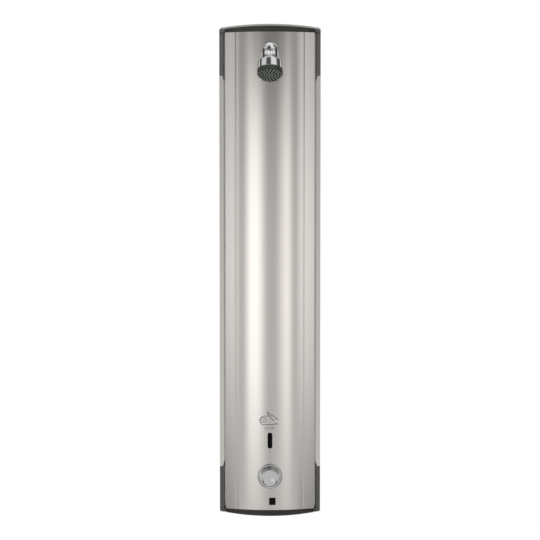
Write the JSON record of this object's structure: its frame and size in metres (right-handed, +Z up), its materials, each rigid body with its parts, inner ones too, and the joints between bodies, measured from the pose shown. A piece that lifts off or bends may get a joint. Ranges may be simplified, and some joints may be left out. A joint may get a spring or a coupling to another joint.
{
  "type": "shower panel",
  "caption": "Wall-mounted touch-free shower panel: long aluminium casing with a tilted shower head, sensor window and temperature knob.",
  "frame": {"origin": "centre of the four wall-fixing holes, on the wall plane, at mid-height", "axes": "+Z up along the panel, +Y into the wall, +X to the right seen from the front"},
  "size_m": [0.232, 0.151, 1.128],
  "materials": {
    "satin_aluminium": "satin anodised",
    "dark_plastic": "fine moulded grain",
    "plate_rubber": "soft matte",
    "chrome": "polished",
    "brass": "as machined",
    "steel": "drawn",
    "seal_rubber": "matte",
    "window_black": "gloss",
    "board_green": "lacquered",
    "battery_wrap": "shrink sleeve",
    "cable_grey": "smooth"
  },
  "bodies": {
    "panel": {"back_chassis": "satin_aluminium", "front_cover": "satin_aluminium", "top_cap": "dark_plastic", "bottom_cap": "dark_plastic", "cap_screws": "steel", "hot_inlet_stop": "brass", "cold_inlet_stop": "brass", "inlet_strainers": "steel", "check_valves": "dark_plastic", "stop_flange_screws": "steel", "union_nuts": "brass", "union_washers": "seal_rubber", "mixer_body": "brass", "cartridge_sleeve": "dark_plastic", "piston_spring": "steel", "cartridge_head_nut": "brass", "spindle_seal": "seal_rubber", "scale_ring": "chrome", "solenoid_valve_body": "brass", "solenoid_diaphragm": "seal_rubber", "solenoid_bonnet": "steel", "solenoid_bonnet_screws": "steel", "solenoid_coil": "dark_plastic", "solenoid_coil_nut": "steel", "plunger_spring": "steel", "riser_outlet_elbow": "brass", "riser_pipe": "steel", "riser_clips": "dark_plastic", "head_feed_elbow": "brass", "head_bracket": "steel", "head_bracket_rivets": "steel", "head_tail_nut": "brass", "head_spacer": "brass", "head_elbow_gasket": "seal_rubber", "head_elbow": "chrome", "head_swivel_spigot": "brass", "head_swivel_seals": "seal_rubber", "head_swivel_clip": "steel", "sensor_window": "window_black", "sensor_box": "dark_plastic", "sensor_board": "board_green", "sensor_eyes": "window_black", "battery_box": "dark_plastic", "battery_lid": "dark_plastic", "battery_pack": "battery_wrap", "control_board": "board_green", "internal_cables": "cable_grey", "blank_plate": "window_black"},
    "hot_plug": {"hot_stop_plug": "brass"},
    "cold_plug": {"cold_stop_plug": "brass"},
    "knob": {"temperature_knob": "chrome", "temperature_spindle": "brass", "knob_screw": "steel", "knob_face_plug": "chrome"},
    "piston": {"temperature_piston": "dark_plastic", "wax_element": "brass"},
    "plunger": {"solenoid_plunger": "steel"},
    "head": {"head_bell": "chrome", "head_flow_disc": "dark_plastic", "head_nozzle_plate": "plate_rubber"}
  },
  "joints": [
    {"name": "temperature_turn", "type": "hinge", "parent": "panel", "child": "knob", "pos_m": [0, -0.1, -0.4715], "axis": [0, -1, 0], "range_deg": [-135, 135]},
    {"name": "piston_slide", "type": "slide", "parent": "panel", "child": "piston", "axis": [0, 1, 0], "range_m": [-0.0012, 0.0012]},
    {"name": "hot_stop_turn", "type": "hinge", "parent": "panel", "child": "hot_plug", "pos_m": [-0.075, -0.04, -0.4715], "axis": [0, -1, 0], "range_deg": [0, 90]},
    {"name": "cold_stop_turn", "type": "hinge", "parent": "panel", "child": "cold_plug", "pos_m": [0.075, -0.04, -0.4715], "axis": [0, -1, 0], "range_deg": [0, 90]},
    {"name": "plunger_lift", "type": "slide", "parent": "panel", "child": "plunger", "axis": [0, 0, 1], "range_m": [0, 0.0025], "stiffness_N_per_m": 200, "springref_m": -0.005, "deforming": ["plunger_spring"]},
    {"name": "head_swivel", "type": "hinge", "parent": "panel", "child": "head", "pos_m": [0, -0.112, 0.4845], "axis": [0, 0, 1], "range_deg": [-30, 30]}
  ],
  "couplings": [
    {"joint": "piston_slide", "follows": "temperature_turn", "m_per_rad": 0.0005}
  ]
}
